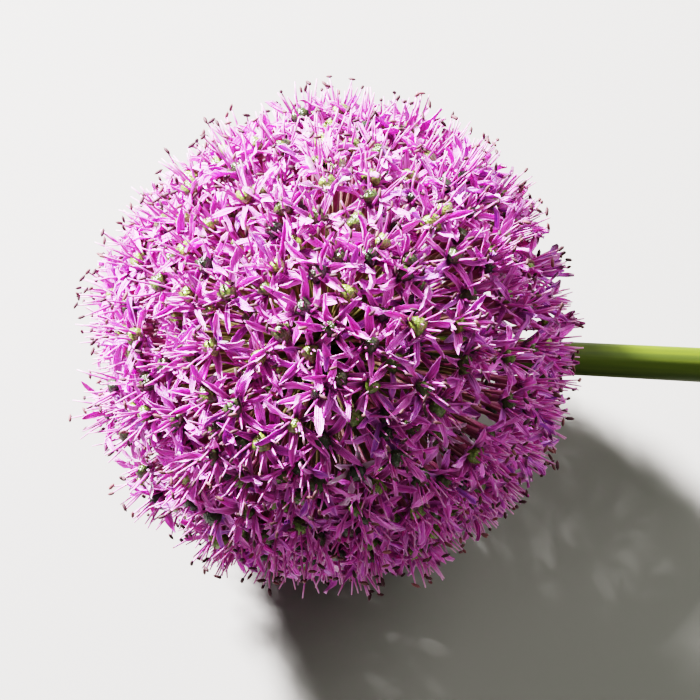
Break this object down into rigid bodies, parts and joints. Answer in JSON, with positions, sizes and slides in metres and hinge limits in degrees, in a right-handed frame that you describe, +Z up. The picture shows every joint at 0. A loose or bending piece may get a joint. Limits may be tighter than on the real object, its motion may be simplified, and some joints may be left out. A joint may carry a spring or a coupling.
{
  "type": "allium flower head",
  "caption": "Round allium flower head of star-shaped lilac florets on thin pedicels, with a cut length of smooth green stalk, lying on its side.",
  "frame": {"origin": "on the surface that the flower lies on, under the middle of the whole part", "axes": "+Z up from the surface; +X from the head along the stalk to its cut end; +Y to the left of that"},
  "size_m": [0.181, 0.1034, 0.0984],
  "materials": {
    "lilac_petal": "soft satin petal, magenta lilac, paler towards the light",
    "green_stalk": "smooth waxy green skin with a soft sheen"
  },
  "bodies": {
    "root": {"flower_head": "lilac_petal", "stalk": "green_stalk"}
  },
  "joints": []
}
